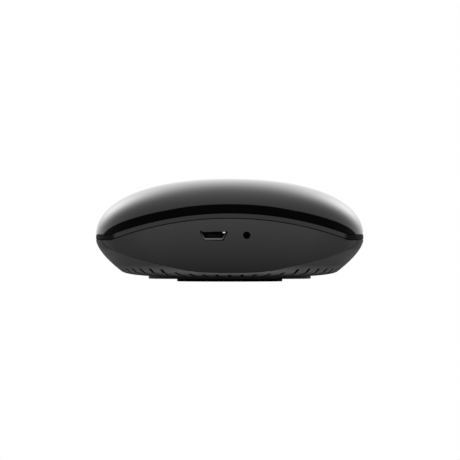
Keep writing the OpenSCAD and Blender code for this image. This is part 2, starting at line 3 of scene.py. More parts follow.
import bmesh
import bpy
import numpy as np
from bpy.props import FloatProperty, FloatVectorProperty, IntProperty, PointerProperty
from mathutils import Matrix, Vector


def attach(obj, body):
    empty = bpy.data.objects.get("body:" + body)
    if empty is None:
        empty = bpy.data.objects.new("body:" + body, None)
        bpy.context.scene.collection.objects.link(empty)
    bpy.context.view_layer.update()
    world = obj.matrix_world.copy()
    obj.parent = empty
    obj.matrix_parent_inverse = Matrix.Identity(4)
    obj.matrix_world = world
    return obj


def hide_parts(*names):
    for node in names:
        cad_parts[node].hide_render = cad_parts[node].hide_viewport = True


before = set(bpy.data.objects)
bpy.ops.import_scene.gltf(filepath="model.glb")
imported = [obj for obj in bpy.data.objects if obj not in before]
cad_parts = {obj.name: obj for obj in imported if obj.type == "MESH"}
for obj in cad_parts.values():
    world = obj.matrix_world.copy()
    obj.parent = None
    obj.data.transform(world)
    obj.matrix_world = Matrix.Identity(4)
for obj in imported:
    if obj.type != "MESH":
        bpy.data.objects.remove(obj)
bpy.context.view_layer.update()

bl_info = {
    "name": "Infrared Blaster Builder",
    "version": (1, 0, 0),
    "blender": (4, 5, 0),
    "location": "3D View > Sidebar > Blaster",
    "description": "Builds a smart infrared blaster with a leaning port facet, and a plain studio round it",
    "category": "Object",
}

MM = 0.001


def hex_colour(code):
    """Linear red, green and blue of an sRGB hex value."""
    channels = [int(code[i:i + 2], 16) / 255 for i in (1, 3, 5)]
    return tuple(c / 12.92 if c <= 0.04045 else ((c + 0.055) / 1.055) ** 2.4 for c in channels)


class BlasterSizes(bpy.types.PropertyGroup):
    body_radius: FloatProperty(
        name="Case radius", description="Radius of the case at its widest line",
        default=0.040, min=0.036, max=0.048, unit="LENGTH")
    body_height: FloatProperty(
        name="Height", description="Height of the whole case",
        default=0.0308, min=0.029, max=0.038, unit="LENGTH")
    seam_height: FloatProperty(
        name="Seam height", description="Height of the middle of the seam",
        default=0.0132, min=0.0128, max=0.0145, unit="LENGTH")
    dome_power: FloatProperty(
        name="Dome fullness", description="Power of the dome's section, where 2 is a plain ellipse",
        default=2.25, min=2, max=2.5)
    wall: FloatProperty(
        name="Wall", description="Wall of the cover and of the housing",
        default=0.002, min=0.0016, max=0.0024, unit="LENGTH")
    trim_height: FloatProperty(
        name="Trim height", description="Height of the strip in the seam",
        default=0.0013, min=0.0009, max=0.0018, unit="LENGTH")
    reveal: FloatProperty(
        name="Reveal", description="Open line above and below the trim strip",
        default=0.0002, min=0.0001, max=0.00035, unit="LENGTH")
    arch_rise: FloatProperty(
        name="Arch rise", description="Height of the port arch above the middle of the seam",
        default=0.0072, min=0.006, max=0.008, unit="LENGTH")
    arch_radius: FloatProperty(
        name="Arch radius", description="Radius of the port arch",
        default=0.102, min=0.092, max=0.115, unit="LENGTH")
    facet_cut: FloatProperty(
        name="Facet depth", description="How far the facet cuts into the round plan at seam height",
        default=0.0068, min=0.006, max=0.0074, unit="LENGTH")
    facet_lean: FloatProperty(
        name="Facet lean", description="Lean of the facet, out towards the top",
        default=radians(10.5), min=radians(9), max=radians(12), subtype="ANGLE")
    slot_count: IntProperty(
        name="Slots", description="Number of vent slots in a full turn",
        default=48, min=36, max=60)
    slot_width: FloatProperty(
        name="Slot width", description="Width of a vent slot",
        default=0.001, min=0.0007, max=0.0012, unit="LENGTH")


# What every colour property has in common
COLOUR = {"subtype": "COLOR", "size": 3, "min": 0, "max": 1}


class BlasterFinishes(bpy.types.PropertyGroup):
    cover: FloatVectorProperty(
        name="Cover", description="Colour of the polished cover",
        **COLOUR, default=hex_colour("#0a0a0b"))
    # The band's near-black colour is painted shade, for the dark reflection of the room in front
    window: FloatVectorProperty(
        name="Front window", description="Colour of the deep black band over the port face",
        **COLOUR, default=hex_colour("#040404"))
    # Painted light: a lighter copy of the housing's colour. Lower down and towards the ends, painted shade
    # darkens it
    port: FloatVectorProperty(
        name="Port face", description="Colour at the top of the port face",
        **COLOUR, default=hex_colour("#3c3c3d"))
    trim: FloatVectorProperty(
        name="Trim", description="Colour of the strip in the seam",
        **COLOUR, default=hex_colour("#3a3a3b"))
    housing: FloatVectorProperty(
        name="Housing", description="Colour of the matte lower housing",
        **COLOUR, default=hex_colour("#262627"))
    plate: FloatVectorProperty(
        name="Base plate", description="Colour of the base plate",
        **COLOUR, default=hex_colour("#151516"))
    rubber: FloatVectorProperty(
        name="Foot pad", description="Colour of the rubber foot pad",
        **COLOUR, default=hex_colour("#101010"))


# Sizes below are in millimetres and angles in degrees, unless a line says otherwise

# Plan of the port facet: its middle arc and half angle, the turn to the side arcs, their reach past the
# case, and the angle over which one arc eases into the next
MID_R, MID_ANGLE, SIDE_TURN, SIDE_OUT, ARC_EASE = 65, 15.1, 1.5, 1.1, 6
# Section of the underside: the crease, the end of the flank, the plate's seat and the floor inside
CREASE_R, CREASE_Z, FLANK_Z = 32, 2.85, 9
BELLY_R, BELLY_Z, PLATE_TOP, FLOOR_TOP = 24.35, 1.64, 2.24, 3.84
# Shares that place the belly's bulge, and the crease's move inwards with the wall
BELLY_BULGE, BELLY_RISE, CREASE_IN = 0.75, 0.27, 0.55
# Vent slots: radius of their ends, and their least distance to the facet
SLOT_IN, SLOT_OUT, SLOT_MARGIN = 25.6, 33.4, 1.7
# Trim strip: how far it stands back, its width, and the depth of the open lines beside it
TRIM_SINK, TRIM_W, REVEAL_DEPTH, PORT_REVEAL_DEPTH = 0.1, 1.9, 0.18, 0.6
# Azimuth in radians within which those lines get their depth of the port side, and its ease
PORT_TURN, PORT_EASE = 1.2, 0.25
# Rounding of edges: the cover's lip, the other lips, and the bend from a level lip into the arch
COVER_FILLET, LIP_FILLET, ARCH_BEND = 0.14, 0.12, 0.15
# Rounding of the corner between the facet and the round case, on each piece
COVER_CORNER, TRIM_CORNER, HOUSING_CORNER = 0.12, 0.2, 0.3
# Least height of the cover's band, and the reach of the close rows beside the facet's upper or lower edge
BAND_MIN, BROW_HALF = 0.75, 0.5
# Highest point of the facet's lower edge, and the reach of the close rows under it
KNEE_MAX, KNEE_NEAR = 9.7, 0.45
# Ports: height of both openings, their places across, and the shell's ends and sheet
PORT_Z, SOCKET_X, PINHOLE_X, PINHOLE_R = 13.8, 4.75, 5.05, 1.05
SOCKET_FRONT, SOCKET_BACK, SHEET = -32.94, -27.34, 0.28
SOCKET_W, SOCKET_H, SOCKET_BASE, SOCKET_SIDE, SOCKET_GAP = 7.5, 2.6, 5.4, 0.5, 0.15
# The shell's rolled mouth, the extra height of its folded lip, and the top of the housing's opening
MOUTH_ROLL, LIP_LIFT, MOUTH_TOP = 0.12, 0.22, 0.84
# Distance from the case's axis at which the ports' azimuths are taken
PORT_REACH = 32
# Length of the openings' cutters behind the facet
CUT_DEPTH = 4.5
# The spring leaf: its place, half width and thickness, and its bend as distance back and dip
LEAF_X, LEAF_HALF, LEAF_T = -1.65, 0.37, 0.08
LEAF_BEND = ((0.06, 0.0), (0.12, 0.3), (0.5, 0.42), (1.2, 0.3), (2.0, 0.0))
# CAD nodes behind the pinhole, which get near-black painted shade
BEHIND_PINHOLE = ("reset_switch_base", "reset_switch_cover")
# Base plate and foot pad, with the rounding of their lower rims
PLATE_R, PLATE_LOW, PLATE_ROUND = 24.2, 0.84, 0.2
PAD_R, PAD_T, PAD_ROUND, SEAT_GAP = 15.7, 1.4, 0.21, 0.15
# Size of the faint clouds in moulded plastic
CLOUD = 9
# Cover's rows: down the dome, over the band's upper edge, on to the lip, and up the inside
DOME_ROWS, BROW_ROWS, LIP_ROWS, INSIDE_ROWS = 60, 17, 9, 26
# Housing's rows: along the slots to the crease and past it, up the flank, on each side of the facet's
# lower edge, up the facet, and down each half of the inside
SLOT_ROWS, CREASE_ROWS, FLANK_ROWS, KNEE_ROWS, FACET_ROWS, WALL_ROWS = 9, 5, 18, 7, 20, 8
# Radii of the housing's rings inside the slots, and the soft edge of the plate's seat as steps out and up
MID_RING, FLOOR_RING, BELLY_RINGS = 12, 24.2, (BELLY_R + 0.3, 25)
SEAT_STEPS = ((0.12, 0.15), (0.18, 0.05))
# Least length of a slot past the crease
CREASE_MARGIN = 0.8
# How near to a surface a face's middle lies when it belongs to it: facet, outside, and edge of the facet
ON_FACET, ON_SKIN, OFF_EDGE = 0.06, 0.08, 0.1
# Depth behind the strip's face from which the trim is unlit, and the gap that keeps its core off the lips
CORE_FROM, CORE_GAP = 0.14, 0.01
# Points of a quarter round
ROUND_STEPS = np.linspace(0, pi / 2, 5)


class Form:
    """The case's curves in millimetres. An azimuth of zero faces the port side, and grows to the right."""

    def __init__(self, sizes):
        self.r = sizes.body_radius / MM
        self.h = sizes.body_height / MM
        self.seam = sizes.seam_height / MM
        self.power = sizes.dome_power
        self.wall = sizes.wall / MM
        self.trim_h = sizes.trim_height / MM
        self.reveal = sizes.reveal / MM
        self.arch_r = sizes.arch_radius / MM
        self.arch_z = self.seam + sizes.arch_rise / MM - self.arch_r
        self.lean = sizes.facet_lean
        self.slots = sizes.slot_count
        self.slot_w = sizes.slot_width / MM
        self.mid_y = MID_R - (self.r - sizes.facet_cut / MM)
        angle, side = radians(MID_ANGLE), radians(MID_ANGLE + SIDE_TURN)
        self.side_r = (self.r + SIDE_OUT - MID_R * sin(angle)) / (1 - sin(side))
        self.side_x = MID_R * sin(angle) - self.side_r * sin(side)
        self.side_y = self.mid_y - MID_R * cos(angle) + self.side_r * cos(side)
        self.cross = np.arctan2(MID_R * sin(angle), MID_R * cos(angle) - self.mid_y)
        self.trim_top = self.seam + self.trim_h / 2
        self.trim_low = self.seam - self.trim_h / 2

    def facet(self, u, z, inset=0.0):
        """Distance from the case's axis to the port facet, drawn inset by a wall."""
        grow = (z - self.seam) * tan(self.lean) - inset / cos(self.lean)

        def reach(cx, cy, radius):
            along = cx * np.sin(np.abs(u)) - cy * np.cos(u)
            under = along ** 2 - cx ** 2 - cy ** 2 + (radius + grow) ** 2
            return along + np.sqrt(np.maximum(under, 0))

        mid = reach(0, self.mid_y, MID_R)
        side = reach(self.side_x, self.side_y, self.side_r)
        share = np.clip((np.abs(u) - self.cross) / radians(ARC_EASE) + 0.5, 0, 1)
        share = share * share * (3 - 2 * share)
        return np.where(np.abs(u) < pi / 2, mid * (1 - share) + side * share, 2 * self.r)

    def dome(self, z, inset=0.0):
        """Radius of the dome's section at a height."""
        share = np.clip((z - self.seam) / (self.h - self.seam - inset), 0, 1)
        return (self.r - inset) * np.maximum(1 - share ** self.power, 0) ** (1 / self.power)

    def dome_height(self, turn, inset=0.0):
        """Height of the dome's section at a turn between 0 at the seam and 1 at the crown."""
        return self.seam + (self.h - self.seam - inset) * np.sin(turn * pi / 2) ** (2 / self.power)

    def dome_turn(self, z, inset=0.0):
        """The turn at which the dome's section has a height."""
        return np.arcsin(((z - self.seam) / (self.h - self.seam - inset)) ** (self.power / 2)) * 2 / pi

    def arch(self, x, u, drop=0.0):
        """Height of the port arch over x, drawn lower by a drop. Behind the middle plane it is far down."""
        under = np.maximum((self.arch_r - drop) ** 2 - x ** 2, 0)
        return np.where(np.abs(u) < pi / 2, self.arch_z + np.sqrt(under), -self.h)

    def underside(self, inset, low):
        """Radius and height along the lower case's section, from the seat's edge up to the seam."""
        crease = np.array([CREASE_R - CREASE_IN * inset, CREASE_Z + inset])
        start = np.array([BELLY_R, low])
        mid = np.array([BELLY_R + (CREASE_R - BELLY_R) * BELLY_BULGE, low + (crease[1] - low) * BELLY_RISE])
        knee = np.array([self.r - inset, FLANK_Z + CREASE_IN * inset])
        end = np.array([self.r - inset, self.seam])
        t = np.linspace(0, 1, 400)[:, None]
        curve = [(1 - t) ** 2 * a + 2 * t * (1 - t) * b + t * t * c
                 for a, b, c in ((start, mid, crease), (crease, knee, end))]
        return np.vstack([curve[0], curve[1][1:]])


def softer(a, b, k):
    """The lower of two values, with the corner where they cross rounded over k."""
    near = np.clip(1 - np.abs(a - b) / k, 0, 1)
    return np.minimum(a, b) - near * near * k / 4


def harder(a, b, k):
    """The higher of two values, rounded the same way."""
    return -softer(-a, -b, k)


def crossing(low, high, gap):
    """Heights between low and high where gap changes sign, found by halving."""
    low, high = np.array(low, float), np.array(high, float)
    start = gap(low) > 0
    for _ in range(40):
        mid = (low + high) / 2
        same = (gap(mid) > 0) == start
        low, high = np.where(same, mid, low), np.where(same, high, mid)
    return (low + high) / 2


def azimuths(form):
    """Columns round the case: each slot has its two sides and its middle, with plain columns between."""
    pitch = 2 * pi / form.slots
    half = np.arcsin(form.slot_w / 2 / SLOT_OUT)
    between = np.linspace(half, pitch - half, 9)[1:-1]
    one = np.concatenate([[0, half], between, [pitch - half]])
    kind = np.array([0, 1] + [2] * len(between) + [-1])
    turns = np.concatenate([one + k * pitch for k in range(form.slots)])
    kinds = np.tile(kind, form.slots)
    start = 1 + len(between) // 2 + 1
    turns = np.concatenate([turns[start:], turns[:start + 1] + 2 * pi])
    kinds = np.concatenate([kinds[start:], kinds[:start + 1]])
    turns = np.where(turns > pi, turns - 2 * pi, turns)
    return turns, kinds


def deselect_all():
    if bpy.context.object and bpy.context.object.mode != "OBJECT":
        bpy.ops.object.mode_set(mode="OBJECT")
    bpy.ops.object.select_all(action="DESELECT")


def folded_sheet(name, rows):
    """A flat grid whose rows and columns are folded round into a closed shell. Rows are millimetre points."""
    down, across = rows.shape[:2]
    deselect_all()
    bpy.ops.mesh.primitive_grid_add(x_subdivisions=across - 1, y_subdivisions=down - 1, size=1)
    sheet = bpy.context.object
    sheet.name = sheet.data.name = name
    flat = np.zeros(len(sheet.data.vertices) * 3)
    sheet.data.vertices.foreach_get("co", flat)
    flat = flat.reshape(-1, 3)
    column = np.rint((flat[:, 0] + 0.5) * (across - 1)).astype(int)
    row = np.rint((flat[:, 1] + 0.5) * (down - 1)).astype(int)
    sheet.data.vertices.foreach_set("co", (rows[row, column] * MM).ravel())
    index = np.zeros((down, across), int)
    index[row, column] = np.arange(len(flat))
    sheet.data.update()
    return sheet, index


def close_up(piece, angle=35):
    """Merges the shell's folds, turns its faces outwards and smooths all but its sharp edges."""
    deselect_all()
    piece.select_set(True)
    bpy.context.view_layer.objects.active = piece
    bpy.ops.object.mode_set(mode="EDIT")
    bpy.ops.mesh.select_all(action="SELECT")
    bpy.ops.mesh.remove_doubles(threshold=0.0005 * MM)
    bpy.ops.mesh.delete_loose(use_verts=True, use_edges=True, use_faces=False)
    bpy.ops.mesh.select_all(action="SELECT")
    bpy.ops.mesh.normals_make_consistent(inside=False)
    bpy.ops.object.mode_set(mode="OBJECT")
    bpy.ops.object.shade_smooth_by_angle(angle=radians(angle))


def lined_up(u, rows):
    """Points in millimetres from azimuths and rows of radius and height."""
    points = np.zeros((len(rows), len(u), 3))
    for i, (turn, radius, height) in enumerate(rows):
        points[i, :, 0] = radius * np.sin(turn)
        points[i, :, 1] = -radius * np.cos(turn)
        points[i, :, 2] = height
    return points


def between(a, b, count, ends=(True, False)):
    """Rows of values from a to b, each with as many columns as a."""
    shares = np.linspace(0, 1, count)
    shares = shares[(0 if ends[0] else 1):(count if ends[1] else count - 1)]
    return [a + (b - a) * s for s in shares]


def edge_height(form, u, radius_at, flat, drop):
    """Height of a lip that runs level round the case and arches up over the port face."""
    z = np.full(len(u), flat)
    for _ in range(30):
        z = harder(np.full(len(u), flat), form.arch(radius_at(z) * np.sin(u), u, drop), ARCH_BEND)
    return z


def sized(sizes):
    """The case's curves, and the azimuth and kind of each column round it."""
    form = Form(sizes)
    return form, azimuths(form)


def radius_of(z, section):
    return np.interp(z, section[:, 1], section[:, 0])


def height_of(radius, section):
    return np.interp(radius, section[:, 0], section[:, 1])


def dressed(piece, *kinds):
    """Gives a piece its materials, and returns the middles of its faces in millimetres."""
    piece.data.materials.clear()
    for kind in kinds:
        piece.data.materials.append(finish(kind))
    centres = np.zeros(len(piece.data.polygons) * 3)
    piece.data.polygons.foreach_get("center", centres)
    return centres.reshape(-1, 3).T / MM


def assign_faces(piece, indices):
    """Sets which of its materials each face has."""
    piece.data.polygons.foreach_set("material_index", indices)
    piece.data.update()


def finish_piece(piece, slot, *nodes):
    """Rides a piece on the case, in place of the CAD nodes named. The slot it is given is not used."""
    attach(piece, "case")
    if nodes:
        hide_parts(*nodes)


class BLASTER_OT_cover(bpy.types.Operator):
    """Builds the polished dome, folded round its lip into a wall, with the band over the facet painted near
    black as shade
    """
    bl_idname = "blaster.cover"
    bl_label = "Cover"

    def execute(self, context):
        form, (u, _) = sized(context.scene.blaster_sizes)
        ones = np.ones(len(u))

        def outer(z):
            return softer(form.dome(z), form.facet(u, z), COVER_CORNER)

        def inner(z):
            return softer(form.dome(z, form.wall), form.facet(u, z, form.wall), COVER_CORNER)

        edge = form.trim_top + form.reveal
        lip = edge_height(form, u, outer, edge, 0)
        inner_lip = edge_height(form, u, inner, edge, 0)
        brow = crossing(lip, ones * (form.h - 1), lambda z: form.dome(z) - form.facet(u, z))
        brow = np.where(form.dome(lip) > form.facet(u, lip), brow, lip)
        brow = np.maximum(brow, lip + BAND_MIN)

        # From the crown down to the lip, with close rows over the band's upper edge
        turns = between(ones, form.dome_turn(brow + BROW_HALF), DOME_ROWS)
        heights = [form.dome_height(t) for t in turns]
        heights += between(brow + BROW_HALF, brow - BROW_HALF, BROW_ROWS)
        heights += between(brow - BROW_HALF, lip + COVER_FILLET, LIP_ROWS)
        rows = [(u, outer(z) if i else 0 * ones, z) for i, z in enumerate(heights)]

        # Round the lip's outer edge, across the lip and up the inside
        rim = outer(lip + COVER_FILLET)
        for a in ROUND_STEPS:
            rows.append((u, rim - COVER_FILLET * (1 - cos(a)), lip + COVER_FILLET * (1 - sin(a))))
        for share in (0.3, 0.65):
            rows.append((u, (rim - COVER_FILLET) * (1 - share) + inner(inner_lip) * share,
                         lip * (1 - share) + inner_lip * share))
        turns = between(form.dome_turn(inner_lip, form.wall), ones, INSIDE_ROWS, (True, True))
        rows += [(u, inner(z), z) for z in (form.dome_height(t, form.wall) for t in turns)]
        rows[-1] = (u, 0 * ones, rows[-1][2])
        shell, _ = folded_sheet("cover_shell", lined_up(u, rows))
        close_up(shell)
        # The band over the facet takes the window material, near black as painted shade
        x, y, z = dressed(shell, "cover_plastic", "window_plastic")
        turn = np.arctan2(x, -y)
        band = form.facet(turn, z) < form.dome(z) + OFF_EDGE
        band &= np.hypot(x, y) > form.facet(turn, z, form.wall / 2)
        assign_faces(shell, band.astype(int))
        finish_piece(shell, "cover_plastic", "top_cover")
        return {"FINISHED"}


class BLASTER_OT_trim(bpy.types.Operator):
    """Builds the strip that fills the seam and follows the port arch"""
    bl_idname = "blaster.trim"
    bl_label = "Trim strip"

    def execute(self, context):
        form, (u, _) = sized(context.scene.blaster_sizes)

        def outer(z):
            return softer(np.full(len(u), form.r - TRIM_SINK), form.facet(u, z), TRIM_CORNER)

        def inner(z):
            return softer(np.full(len(u), form.r - TRIM_SINK - TRIM_W), form.facet(u, z, TRIM_W), TRIM_CORNER)

        def edges(radius_at, more=0.0):
            """Heights of the strip's upper and lower edge, each moved outwards by some more."""
            return (edge_height(form, u, radius_at, form.trim_top + more, form.reveal - more),
                    edge_height(form, u, radius_at, form.trim_low - more, form.reveal + form.trim_h + more))

        # The core behind the strip's face is as tall as the seam, so the open lines end on its back
        tall = form.reveal - CORE_GAP
        top, low = edges(outer)
        top_in, low_in = edges(inner, tall)
        core_top, core_low = edges(outer, tall)
        deep = np.clip((PORT_TURN - np.abs(u)) / PORT_EASE, 0, 1)
        deep = REVEAL_DEPTH + (PORT_REVEAL_DEPTH - REVEAL_DEPTH) * deep

        def core(z):
            return outer(z) - deep

        rows = [(u, inner(top_in), top_in), (u, core(core_top), core_top), (u, core(top), top)]
        for a in ROUND_STEPS:
            rows.append((u, outer(top - LIP_FILLET) - LIP_FILLET * (1 - sin(a)),
                         top - LIP_FILLET * (1 - cos(a))))
        rows += [(u, outer(z), z) for z in between(top - LIP_FILLET, low + LIP_FILLET, 5, (False, False))]
        for a in ROUND_STEPS:
            rows.append((u, outer(low + LIP_FILLET) - LIP_FILLET * (1 - cos(a)),
                         low + LIP_FILLET * (1 - sin(a))))
        rows += [(u, core(low), low), (u, core(core_low), core_low), (u, inner(low_in), low_in)]
        rows.append(rows[0])
        strip, _ = folded_sheet("trim_strip", lined_up(u, rows))
        close_up(strip)
        # Faces behind the strip's face, down in the open lines, get near-black painted shade
        x, y, z = dressed(strip, "trim_plastic", "unlit_plastic")
        face = softer(np.full(len(x), form.r - TRIM_SINK), form.facet(np.arctan2(x, -y), z), TRIM_CORNER)
        assign_faces(strip, (np.hypot(x, y) < face - CORE_FROM).astype(int))
        finish_piece(strip, "trim_plastic", "trim_ring")
        return {"FINISHED"}


class BLASTER_OT_housing(bpy.types.Operator):
    """Builds the matte lower housing with its leaning port face, vent slots and port openings"""
    bl_idname = "blaster.housing"
    bl_label = "Lower housing"

    def execute(self, context):
        form, (u0, kinds) = sized(context.scene.blaster_sizes)
        ones = np.ones(len(u0))
        slot_side = np.where(np.abs(kinds) == 1, kinds, 0)
        slot_mid = u0 - slot_side * np.arcsin(form.slot_w / 2 / SLOT_OUT)
        edge, drop = form.trim_low - form.reveal, 2 * form.reveal + form.trim_h
        curve = form.underside(0, BELLY_Z)
        inner_curve = form.underside(form.wall, FLOOR_TOP)

        def turned(radius):
            """Azimuths whose slot columns stand parallel at this radius."""
            return slot_mid + slot_side * np.arcsin(form.slot_w / 2 / np.clip(radius, SLOT_IN, SLOT_OUT))

        def outer(z, u=u0):
            flank = np.where(z > form.seam, form.r - TRIM_SINK, radius_of(z, curve))
            return softer(flank, form.facet(u, z), HOUSING_CORNER)

        def inner(z, u=u0):
            return softer(radius_of(z, inner_curve), form.facet(u, z, form.wall), HOUSING_CORNER)

        def row(skin, z):
            u = turned(skin(z))
            return (u, skin(z, u), z)

        def knee_of(section, wall, low, high):
            """Height where a section meets the facet. Behind the facet it is level."""
            knee = crossing(low, high, lambda z: form.facet(u0, z, wall) - radius_of(z, section))
            return np.minimum(np.where(form.facet(u0, edge * ones) < form.r, knee, KNEE_MAX), KNEE_MAX)

        top = edge_height(form, u0, outer, edge, drop)
        top_in = edge_height(form, u0, inner, edge, drop)
        knee = knee_of(curve, 0, ones * BELLY_Z, top)
        corner_r = radius_of(knee, curve)
        slot_end = np.minimum(SLOT_OUT, form.facet(u0, height_of(corner_r, curve) * ones, SLOT_MARGIN))
        crease = np.minimum(CREASE_R, slot_end - CREASE_MARGIN)

        # From the middle of the plate's seat, over the seat's edge and out to the slots' inner ends
        rows = [(u0, r * ones, PLATE_TOP * ones) for r in (0, MID_RING, BELLY_R + SEAT_STEPS[0][0])]
        rows += [(u0, (BELLY_R + out) * ones, (BELLY_Z + rise) * ones)
                 for out, rise in SEAT_STEPS]
        radii = [r * ones for r in BELLY_RINGS]
        # Along the slots, over the crease
        first_slot_row = len(rows) + len(radii)
        radii += between(SLOT_IN * ones, crease, SLOT_ROWS)
        radii += between(crease, slot_end, CREASE_ROWS, (True, True))
        last_slot_row = len(rows) + len(radii) - 1
        rows += [(turned(r), r, height_of(r, curve)) for r in radii]

        # Up the flank to the facet's lower edge, spaced along the section because the belly rises slowly
        length = np.concatenate([[0], np.cumsum(np.hypot(*np.diff(curve, axis=0).T))])
        along_a = np.interp(height_of(slot_end, curve), curve[:, 1], length)
        along_k = np.interp(knee, curve[:, 1], length)
        near = np.minimum(KNEE_NEAR, (along_k - along_a) / 3)
        steps = between(along_a, along_k - near, FLANK_ROWS, (False, True))
        steps += between(along_k - near, along_k, KNEE_ROWS, (False, True))
        rows += [row(outer, np.interp(at, length, curve[:, 1])) for at in steps]

        # Up the facet with close rows first, round the rim and down the inside to the floor's middle
        above = knee + BROW_HALF
        rows += [row(outer, z) for z in between(knee, above, KNEE_ROWS, (False, True))]
        rows += [row(outer, z) for z in between(above, top - LIP_FILLET, FACET_ROWS, (False, True))]
        for a in ROUND_STEPS[1:]:
            rows.append((u0, outer(top - LIP_FILLET) - LIP_FILLET * (1 - cos(a)),
                         top - LIP_FILLET * (1 - sin(a))))
        rows.append((u0, (outer(top) - LIP_FILLET + inner(top_in)) / 2, (top + top_in) / 2))
        inner_end = height_of(slot_end, inner_curve)
        inner_knee = knee_of(inner_curve, form.wall, inner_end, top_in)
        for low, high in ((top_in, inner_knee), (inner_knee, inner_end)):
            rows += [row(inner, z) for z in between(low, high, WALL_ROWS)]
        inner_first = len(rows)
        rows += [(turned(r), r, height_of(r, inner_curve)) for r in radii[len(BELLY_RINGS):][::-1]]
        rows += [(u0, r * ones, FLOOR_TOP * ones) for r in (FLOOR_RING, MID_RING, 0)]
        shell, index = folded_sheet("housing_shell", lined_up(u0, rows))
        count = last_slot_row - first_slot_row
        self.open_slots(shell, np.flatnonzero(kinds == 0), count, index[first_slot_row:last_slot_row + 1],
                        index[inner_first:inner_first + count + 1][::-1])
        close_up(shell)
        self.cut_ports(context, shell, form)

        # Faces on the facet, on the rest of the outside, and on the inner side with the slots' walls, which
        # get near-black painted shade
        x, y, z = dressed(shell, "housing_plastic", "port_plastic", "unlit_plastic")
        reach = np.hypot(x, y)
        face = np.abs(reach - form.facet(np.arctan2(x, -y), z)) < ON_FACET
        face &= z > height_of(reach, curve) + OFF_EDGE
        skin = face | (reach > radius_of(z, curve) - ON_SKIN) | (z < height_of(reach, curve) + ON_SKIN)
        assign_faces(shell, np.where(skin, face.astype(int), 2))
        finish_piece(shell, "housing_plastic", "lower_housing")
        return {"FINISHED"}

    def open_slots(self, shell, columns, count, under, above):
        """Takes the faces off over each slot, and joins the underside to the floor with walls round it."""
        mesh = bmesh.new()
        mesh.from_mesh(shell.data)
        mesh.verts.ensure_lookup_table()
        ring = [(i, 0) for i in range(count + 1)] + [(count, 1)]
        ring += [(i, 2) for i in range(count, -1, -1)] + [(0, 1)]
        doomed = []
        for c in columns:
            low, high = (grid[:, c - 1:c + 2] for grid in (under, above))
            for grid in (low, high):
                for i, j in ((i, j) for i in range(count) for j in (0, 1)):
                    corners = {int(v) for v in grid[i:i + 2, j:j + 2].ravel()}
                    doomed.append(next(f for f in mesh.verts[int(grid[i, j])].link_faces
                                       if {v.index for v in f.verts} == corners))
            for here, ahead in zip(ring, ring[1:] + ring[:1]):
                mesh.faces.new([mesh.verts[int(v)] for v in (low[here], low[ahead], high[ahead], high[here])])
        bmesh.ops.delete(mesh, geom=doomed, context="FACES")
        mesh.to_mesh(shell.data)
        mesh.free()

    def cut_ports(self, context, shell, form):
        """Cuts the socket's opening and the reset pinhole, each with a softened edge."""
        # Each cutter's steps: how far its outline grows, and its place behind the facet
        bevel = ((0.56, -0.5), (0.07, 0), (0, 0.08), (0, CUT_DEPTH))
        # A thin lip of the wall hangs over the top of the socket's mouth, in front of the shell's seat
        mouth, seat = socket_outline(SOCKET_GAP, MOUTH_TOP), socket_outline(SOCKET_GAP)
        for name, x, outline, steps in (("socket_mouth", -SOCKET_X, mouth, bevel),
                                        ("socket_seat", -SOCKET_X, seat, ((0, 0.1), (0, CUT_DEPTH))),
                                        ("pinhole_cut", PINHOLE_X, ring_outline(PINHOLE_R, 64), bevel)):
            turn = np.arctan2(x, PORT_REACH)
            front = -float(form.facet(np.array([turn]), np.array([PORT_Z]))[0]) * cos(turn)
            slope = tan(form.lean) if steps is bevel else 0
            rows = []
            for grow, depth in steps:
                ring = closed(grown(outline, grow))
                # Steps near the facet lean with it, and the far end is upright
                lean = ring[:, 1] * slope * (depth < 1)
                rows.append(np.column_stack([ring[:, 0] + x, front + depth - lean, ring[:, 1] + PORT_Z]))
            caps = [np.tile(row[:-1].mean(axis=0), (len(row), 1)) for row in (rows[0], rows[-1])]
            cutter, _ = folded_sheet(name, np.array([caps[0]] + rows + [caps[1]]))
            close_up(cutter)
            deselect_all()
            context.view_layer.objects.active = shell
            shell.select_set(True)
            cut = shell.modifiers.new(name, "BOOLEAN")
            cut.operation, cut.solver, cut.object = "DIFFERENCE", "EXACT", cutter
            bpy.ops.object.modifier_apply(modifier=cut.name)
            bpy.data.objects.remove(cutter)
        bpy.ops.object.shade_smooth_by_angle(angle=radians(35))


